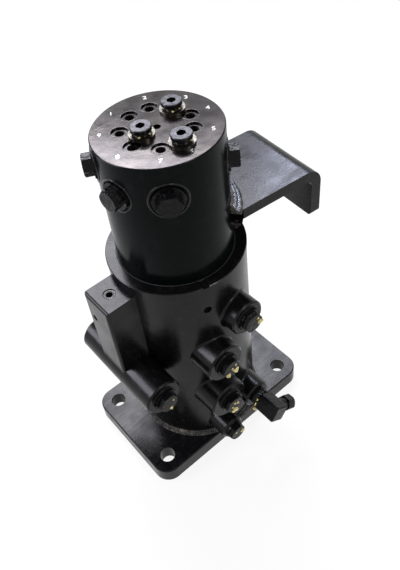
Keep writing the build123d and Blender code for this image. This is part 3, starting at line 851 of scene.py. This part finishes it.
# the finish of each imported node: the first pattern that fits its name
FINISH_OF = (
    ("thrust_washer", "bronze"), ("rotary_seal*", "ring"),
    ("dust_seal", "rubber"), ("foot_cap_oring", "rubber"),
    ("foot_cap", "steel"), ("foot_circlip", "steel"), ("retaining*", "steel"),
    ("*_washer", "washer"), ("top_plug*", "collared"),
    ("*plug*", "plug"), ("elbow*", "plug"), ("vent*", "plug"),
    ("mounting_flange", "plate"), ("stop_bracket", "plate"),
    ("*weld*", "weld"), ("rotor", "rotor"), ("*", "enamel"),
)


@dataclass
class Finishes:
    """All the finishes of the union, made once."""

    face_height: float
    collar_height: float = 3.4 * MM
    made: dict[str, Material] = field(default_factory=dict)

    def build(self) -> None:
        """Make each finish and keep it by name."""
        kinds = {
            "enamel": BlackEnamel(),
            "plate": BlackEnamel(name="plate_enamel", deep=(0.0032, 0.0032, 0.0036),
                                 dusty=(0.016, 0.0155, 0.018), gloss=0.16, dull=0.38,
                                 sand_grain=300.0, sand_depth=0.00008, streaks=0.55),
            "weld": BlackEnamel(name="weld_enamel", dusty=(0.19, 0.17, 0.135), gloss=0.12,
                                dull=0.3, sand_grain=600.0, level=0.35, clean=0.46),
            # bracket weld bead: bare weld metal, its pale bluish tone a painted reflection of the
            # softbox
            "bead": BareMetal("bracket_weld_bead_painted_sheen", (0.17, 0.18, 0.21), (0.05, 0.053, 0.062), 0.2),
            "rotor": MachinedHead(self.face_height),
            "plug": PlugFinish(),
            "lip": PlugFinish(name="lip_black", rough=0.08, level=0.20),
            "washer": PlugFinish(name="washer_black", base=(0.09, 0.09, 0.10),
                                 worn=(0.20, 0.19, 0.18), rough=0.2, metallic=0.8),
            "steel": BareMetal("turned_steel", (0.42, 0.41, 0.40), (0.22, 0.21, 0.20)),
            # port threads: near-black steel, a painted shade of the deep bore rather than the
            # steel's own colour
            "thread": BareMetal("port_thread_steel_painted_shade", (0.012, 0.011, 0.010), (0.004, 0.004, 0.004),
                                0.35),
            "edge": BareMetal("polished_edge", (0.11, 0.105, 0.10), (0.035, 0.033, 0.032), 0.14),
            "collared": CollaredPlug(self.face_height + self.collar_height),
            "bronze": BareMetal("bearing_bronze", (0.50, 0.33, 0.15), (0.30, 0.19, 0.09)),
            "rubber": Elastomer("seal_rubber", (0.008, 0.008, 0.008), (0.02, 0.02, 0.02)),
            "ring": Elastomer("seal_ring_plastic", (0.05, 0.07, 0.07), (0.09, 0.11, 0.11), 0.4),
            "yellow": MarkPaint("inspection_yellow", (0.84, 0.72, 0.27), (0.20, 0.14, 0.03), 0.14),
            "white": MarkPaint("number_white", (0.62, 0.62, 0.60), (0.26, 0.26, 0.25), 0.5),
        }
        for key, finish in kinds.items():
            self.made[key] = finish.build()

    def __getitem__(self, key: str) -> Material:
        """A finish by its key."""
        return self.made[key]

    def dress(self, body: Body) -> None:
        """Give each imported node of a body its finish, keeping its mesh.

        Args:
            body: The body.
        """
        for name in frame["record"]["behaviour"]["bodies"][body.value]:
            material = self[next(key for pattern, key in FINISH_OF if fnmatch(name, pattern))]
            mesh = frame["nodes"][name].data
            mesh.materials.clear()
            mesh.materials.append(material)
            log.info("%s: finish %s", name, material.name)


@dataclass
class Housing:
    """The still side: casting, flange, bosses, seals, plugs and foot."""

    finishes: Finishes
    ripples: Tree
    bead: float = 2.6 * MM
    bead_inset: float = 1.15
    bead_rise: float = 0.8
    bead_count: int = 170
    lip_gap: float = 0.7 * MM
    lip_width: float = 1.6 * MM
    lip_height: float = 0.7 * MM
    near_hole: float = 1.5
    burr_width: float = 2.4 * MM
    burr_height: float = 0.35 * MM

    def build_weld(self) -> None:
        """Lay ripples over the plain fillet where the barrel meets the flange."""
        low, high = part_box("base_weld")
        radius = (high[0] - low[0]) / 2
        settings = {"Radius": radius - self.bead * self.bead_inset,
                    "Height": low[2] + self.bead * self.bead_rise, "Start": 0.0, "Sweep": 360.0,
                    "Count": self.bead_count, "Size": self.bead, "Seed": 3,
                    "Finish": self.finishes["weld"]}
        grown("base_weld_ripples", self.ripples, settings, Body.HOUSING)

    def build_seats(self) -> None:
        """Raise the turned lip round each plug on the boss faces."""
        bm = bmesh.new()
        for plug in ("port_plug_a", "port_plug_b", "port_plug_c", "port_plug_e", "cross_plug"):
            centre, seat = middle(plug + "_washer"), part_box(plug + "_washer")[1][1]
            inner = half_height(plug) + self.lip_gap

            def place(radius: float, turn: float, up: float) -> Vector:
                """A point on the boss face."""
                return Vector((centre.x + radius * math.cos(turn), seat - up,
                               centre.z + radius * math.sin(turn)))

            add_ridge(bm, place, inner, inner + self.lip_width, self.lip_height)
        add_mesh("boss_lips", bm, self.finishes["lip"], Body.HOUSING)

    def build_hole_lips(self) -> None:
        """Raise a burr of paint round the mouth of the lug's upper hole."""
        hole = next(m for m in frame["record"]["mounts"] if m["name"] == "lug_top_hole")
        centre, inner = Vector(hole["pos_m"]), hole["dims"]["r_mm"] * MM + self.lip_gap
        seat = max(height for reach, height in from_centre("housing_body", centre)
                   if reach < self.near_hole * inner)
        bm = bmesh.new()
        add_ridge(bm, on_level(centre, seat), inner, inner + self.burr_width, self.burr_height, 40)
        add_mesh("lug_hole_lip", bm, self.finishes["weld"], Body.HOUSING)

    def build(self) -> None:
        """Build and dress the housing."""
        self.build_hole_lips()
        self.finishes.dress(Body.HOUSING)
        self.build_weld()
        self.build_seats()


@dataclass
class Rotor:
    """The turning side: head and stem, plugs, retaining plate and stop bracket."""

    finishes: Finishes
    ripples: Tree
    threads: Tree
    bead: float = 3.4 * MM
    bead_rows: tuple[tuple[float, float], ...] = ((0.003, 0.0035), (0.0075, -0.0005))
    bead_start: float = -53.0
    bead_sweep: float = 96.0
    bead_count: int = 44
    seat_gap: float = 1.8 * MM
    seat_width: float = 3.0 * MM
    seat_height: float = 1.0 * MM
    edge_width: float = 0.6 * MM
    edge_height: float = 0.25 * MM
    edge_overlap: float = 0.05 * MM
    counterbore_reach: float = 11 * MM
    counterbore_wall: tuple[float, float] = (4 * MM, 0.2 * MM)
    thread_gap: float = 0.15 * MM
    thread_pitch: float = 1.5 * MM
    thread_turns: int = 8
    thread_start: float = -3.2 * MM
    thread_wire: float = 0.5 * MM

    def build_edges(self) -> None:
        """Raise a fine polished burr round each counterbore on the top face."""
        bm = bmesh.new()
        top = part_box("rotor")[1][2]
        low, high = (top - drop for drop in self.counterbore_wall)
        for port in top_ports():
            centre = Vector(port["pos_m"])
            rim = max(reach for reach, height in from_centre("rotor", centre)
                      if low < height < high and reach < self.counterbore_reach)
            add_ridge(bm, on_level(centre, top), rim - self.edge_overlap, rim + self.edge_width,
                      self.edge_height, 48)
        add_mesh("port_edges", bm, self.finishes["edge"], Body.ROTOR)

    def build_threads(self) -> None:
        """Line the open ports with fine rings that read as thread turns, coloured near-black as
        painted shade of the bores.
        """
        seeds = bmesh.new()
        for port in top_ports():
            seeds.verts.new((*port["pos_m"][:2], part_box("rotor")[1][2]))
        radius = top_ports()[0]["dims"]["r_mm"] * MM
        settings = {"Radius": radius - self.thread_gap, "Pitch": self.thread_pitch,
                    "Turns": self.thread_turns, "Depth": self.thread_start,
                    "Wire": self.thread_wire, "Finish": self.finishes["thread"]}
        grown("port_threads", self.threads, settings, Body.ROTOR, seeds)

    def build_welds(self) -> None:
        """Lay ripples over the bracket's two fillets, in bare metal whose pale bluish tone is a
        painted reflection.
        """
        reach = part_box("rotor")[1][0]
        for node, lift, way in (("bracket_weld_top", 0.30, 1.0),
                                ("bracket_weld_under", 0.70, -1.0)):
            low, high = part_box(node)
            height = low[2] + lift * (high[2] - low[2])
            for row, (out, up) in enumerate(self.bead_rows):
                settings = {"Radius": reach + out, "Height": height + way * up,
                            "Start": self.bead_start, "Sweep": self.bead_sweep,
                            "Count": self.bead_count, "Size": self.bead, "Seed": 7 + row,
                            "Finish": self.finishes["bead"]}
                grown(f"{node}_ripples_{row + 1}", self.ripples, settings, Body.ROTOR)

    def build_seats(self) -> None:
        """Raise the rounded lip round each side plug, following the head's side."""
        bm = bmesh.new()
        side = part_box("rotor")[1][0]
        for plug in ("head_plug_1", "head_plug_2", "head_plug_3", "head_plug_4"):
            centre = middle(plug + "_washer")
            facing = math.atan2(centre.y, centre.x)
            inner = half_height(plug) + self.seat_gap

            def place(radius: float, turn: float, up: float) -> Vector:
                """A point on the head's round side."""
                angle = facing + radius * math.cos(turn) / side
                out = side + up
                return Vector((out * math.cos(angle), out * math.sin(angle),
                               centre.z + radius * math.sin(turn)))

            add_ridge(bm, place, inner, inner + self.seat_width, self.seat_height)
        add_mesh("side_plug_lips", bm, self.finishes["lip"], Body.ROTOR)

    def build(self) -> None:
        """Build and dress the rotor."""
        self.finishes.dress(Body.ROTOR)
        self.build_edges()
        self.build_threads()
        self.build_welds()
        self.build_seats()


@dataclass
class Numbers:
    """Plain numbers stamped beside the ports and filled with white."""

    finishes: Finishes
    ring: float = 58.5 * MM
    size: float = 8.8 * MM
    proud: float = 0.15 * MM
    weight: float = 0.20 * MM
    facing: float = -33.0
    angles: tuple[float, ...] = (108.0, 65.0, 20.0, -13.0, -52.0, -92.0, -124.0, -168.0, 147.0)

    def build(self) -> None:
        """Make one piece that holds all the numbers on the top face."""
        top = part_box("rotor")[1][2]
        bm = bmesh.new()
        for index, angle in enumerate(self.angles, start=1):
            self.stamp(bm, str(index), polar(self.ring, angle, top))
        add_mesh("port_numbers", bm, self.finishes["white"], Body.ROTOR, smooth=False)

    def stamp(self, bm: BMesh, text: str, where: Vector) -> None:
        """Add one number to the mesh.

        Args:
            bm: The mesh to add to.
            text: The number.
            where: Its middle, on the top face.
        """
        curve = bpy.data.curves.new("number", "FONT")
        curve.body = text
        curve.size = self.size
        curve.align_x, curve.align_y = "CENTER", "CENTER"
        curve.extrude = self.proud
        curve.offset = self.weight
        mesh = baked(put("number", curve))
        turn = Matrix.Rotation(math.radians(self.facing), 4, "Z")
        mesh.transform(Matrix.Translation(where) @ turn)
        bm.from_mesh(mesh)


# daubs on the housing's plugs: how far aside and up in millimetres, and size
DAUBS = {
    "port_plug_a": ((9.0, -2.5, 0.95), (6.0, 5.0, 0.4)),
    "port_plug_b": ((-6.5, -6.5, 0.85), (5.5, -5.5, 1.0), (0.5, 1.0, 0.35), (6.0, 4.0, 0.3)),
    "port_plug_c": ((-2.0, -8.5, 1.1), (4.0, 2.0, 0.5), (-5.0, -1.0, 0.4), (-1.0, 5.0, 0.35)),
    "elbow_nut": ((-12.0, -7.0, 1.1), (-12.5, 1.0, 0.5), (-9.0, 7.5, 0.45)),
    "port_plug_e": ((7.5, -1.0, 0.8), (-3.0, 4.0, 0.35)),
    "cross_plug": ((1.0, -9.0, 0.6), (6.0, 3.0, 0.3)),
}
# daubs round the necks of the top plugs: plug and angle in degrees
NECK_DAUBS = (("top_plug_1", -125.0), ("top_plug_1", -70.0), ("top_plug_2", -60.0),
              ("top_plug_2", -140.0), ("top_plug_3", -50.0))


@dataclass
class PaintDabs:
    """Yellow torque-check paint, daubed on the plugs' hexagons and round the top plugs' necks."""

    finishes: Finishes
    size: float = 4.3 * MM
    flat: Point = (1.0, 0.62, 0.9)
    neck_size: float = 1.3 * MM
    neck_flat: Point = (1.0, 1.0, 0.6)
    neck_radius: float = 9.0 * MM
    neck_foot: float = 3.0 * MM

    def lump(self, bm: BMesh, centre: Vector, reach: Vector, seed: int) -> None:
        """Add one uneven lump of paint.

        Args:
            bm: The mesh to add to.
            centre: Its middle.
            reach: Its half sizes.
            seed: Which outline it gets.
        """
        ball = bmesh.new()
        bmesh.ops.create_uvsphere(ball, u_segments=20, v_segments=12, radius=1.0)
        for vert in ball.verts:
            x, y, z = vert.co
            wobble = (1 + 0.20 * math.sin(3.1 * x + 2.3 * z + seed)
                      + 0.15 * math.sin(4.7 * z - 3.3 * y + 2.1 * seed)
                      + 0.08 * math.sin(9.0 * x + 7.0 * y + seed))
            vert.co = centre + Vector((x * reach.x, y * reach.y, z * reach.z)) * wobble
        mesh = to_mesh("lump", ball)
        bm.from_mesh(mesh)
        bpy.data.meshes.remove(mesh)

    def build_ports(self) -> None:
        """Daub the plugs on the housing."""
        bm = bmesh.new()
        index = 0
        for node, spots in DAUBS.items():
            centre, front = middle(node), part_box(node)[0][1]
            for aside, up, grow in spots:
                wide = self.size * grow
                spot = Vector((centre.x + aside * MM, front + 0.1 * wide, centre.z + up * MM))
                self.lump(bm, spot, Vector([part * wide for part in self.flat]), index)
                index += 1
        bmesh.ops.recalc_face_normals(bm, faces=bm.faces)
        add_mesh("check_paint", bm, self.finishes["yellow"], Body.HOUSING)

    def build_necks(self) -> None:
        """Daub the foot of each top plug."""
        bm = bmesh.new()
        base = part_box("rotor")[1][2] + self.neck_foot
        for index, (plug, turn) in enumerate(NECK_DAUBS):
            centre = middle(plug)
            where = Vector((centre.x, centre.y, 0)) + polar(self.neck_radius, turn, base)
            self.lump(bm, where, Vector(self.neck_flat) * self.neck_size, index)
        bmesh.ops.recalc_face_normals(bm, faces=bm.faces)
        add_mesh("neck_check_paint", bm, self.finishes["yellow"], Body.ROTOR)

    def build(self) -> None:
        """Put paint on each plug that has been checked."""
        self.build_ports()
        self.build_necks()


# ------------------------------------------------------------------ studio


@dataclass(frozen=True)
class Softbox:
    """One soft light: where it hangs, what it aims at, its size, watts, tint and roll."""

    name: str
    place: Point
    aim: Point
    size: tuple[float, float]
    power: float
    tint: Colour
    roll: float = 0.0

    def build(self) -> None:
        """Hang the light."""
        data = bpy.data.lights.new(self.name, "AREA")
        data.shape = "RECTANGLE"
        data.size, data.size_y = self.size
        data.energy = self.power
        data.color = self.tint
        lamp = put(self.name, data)
        lamp.location = self.place
        facing = (Vector(self.aim) - Vector(self.place)).to_track_quat("-Z", "Y").to_matrix()
        roll = Matrix.Rotation(math.radians(self.roll), 3, "Z")
        lamp.rotation_euler = (facing @ roll).to_euler()


LIGHTS = (
    Softbox("back_softbox", (0.604, 1.135, 1.98), (0.0, 0.0, 0.45), (1.2, 0.92), 70.0,
            (0.97, 0.97, 1.05), -20.0),
    Softbox("bracket_softbox", (1.36, 0.97, 1.68), (0.13, -0.03, 0.38), (0.36, 0.32), 12.0,
            (0.86, 0.92, 1.18)),
    Softbox("left_softbox", (-1.25, 0.92, 1.15), (0.0, 0.0, 0.25), (0.8, 0.95), 28.0,
            (0.95, 0.94, 1.08)),
    Softbox("front_softbox", (0.30, -1.50, 1.62), (0.0, 0.0, 0.25), (0.5, 0.4), 14.5,
            (1.0, 0.98, 0.95)),
)


@dataclass(frozen=True)
class Studio:
    """Camera, floor, soft lights and a white surround."""

    eye: Point = (-0.2885, -0.4516, 0.8358)
    azimuth: float = -33.24
    elevation: float = 44.97
    roll: float = -8.79
    lens: float = 39.32
    shift: tuple[float, float] = (0.0302, -0.0519)
    dim: float = 0.30

    def build_camera(self) -> None:
        """Place the camera and make it the scene's own."""
        a, e, r = (math.radians(v) for v in (self.azimuth, self.elevation, self.roll))
        back = Vector((math.sin(a) * math.cos(e), -math.cos(a) * math.cos(e), math.sin(e)))
        right = Vector((math.cos(a), math.sin(a), 0))
        up = back.cross(right)
        right, up = (right * math.cos(r) + up * math.sin(r),
                     up * math.cos(r) - right * math.sin(r))
        data = bpy.data.cameras.new("camera")
        data.sensor_width = 36.0
        data.lens = self.lens
        data.shift_x, data.shift_y = self.shift
        data.clip_start, data.clip_end = 0.02, 50.0
        camera = put("camera", data)
        turn = Matrix((right, up, back)).transposed().to_4x4()
        camera.matrix_world = Matrix.Translation(self.eye) @ turn
        bpy.context.scene.camera = camera

    def build_floor(self) -> None:
        """Lay the floor."""
        finish = PaleFloor()
        bm = bmesh.new()
        bmesh.ops.create_grid(bm, x_segments=1, y_segments=1, size=finish.half_size)
        mesh = to_mesh("floor", bm)
        mesh.materials.append(finish.build())
        put("floor", mesh)

    def build_world(self) -> None:
        """Light the surround: dim for the object, white where it is seen or mirrored."""
        world = bpy.data.worlds.new("surround")
        bpy.context.scene.world = world
        world.use_nodes = True
        tree = world.node_tree
        tree.nodes.clear()
        add, link = tree.nodes.new, tree.links.new
        dim, white = add("ShaderNodeBackground"), add("ShaderNodeBackground")
        dim.inputs["Strength"].default_value = self.dim
        white.inputs["Strength"].default_value = 1.0
        for node in (dim, white):
            node.inputs["Color"].default_value = (1.0, 1.0, 1.0, 1.0)
        mix, output = add("ShaderNodeMixShader"), add("ShaderNodeOutputWorld")
        link(seen_directly(tree), mix.inputs[0])
        link(dim.outputs[0], mix.inputs[1])
        link(white.outputs[0], mix.inputs[2])
        link(mix.outputs[0], output.inputs[0])

    def build(self) -> None:
        """Set the whole studio."""
        self.build_camera()
        for light in LIGHTS:
            light.build()
        self.build_floor()
        self.build_world()
        bpy.context.scene.view_settings.view_transform = "Standard"


def main() -> None:
    """Build every sub-assembly in order and set up the studio."""
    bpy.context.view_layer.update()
    finishes = Finishes(face_height=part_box("rotor")[1][2])
    finishes.build()
    ripples, threads = RippleTree().build(), ThreadTree().build()
    Housing(finishes, ripples).build()
    Rotor(finishes, ripples, threads).build()
    Numbers(finishes).build()
    PaintDabs(finishes).build()
    Studio().build()


if __name__ == "__main__":
    main()
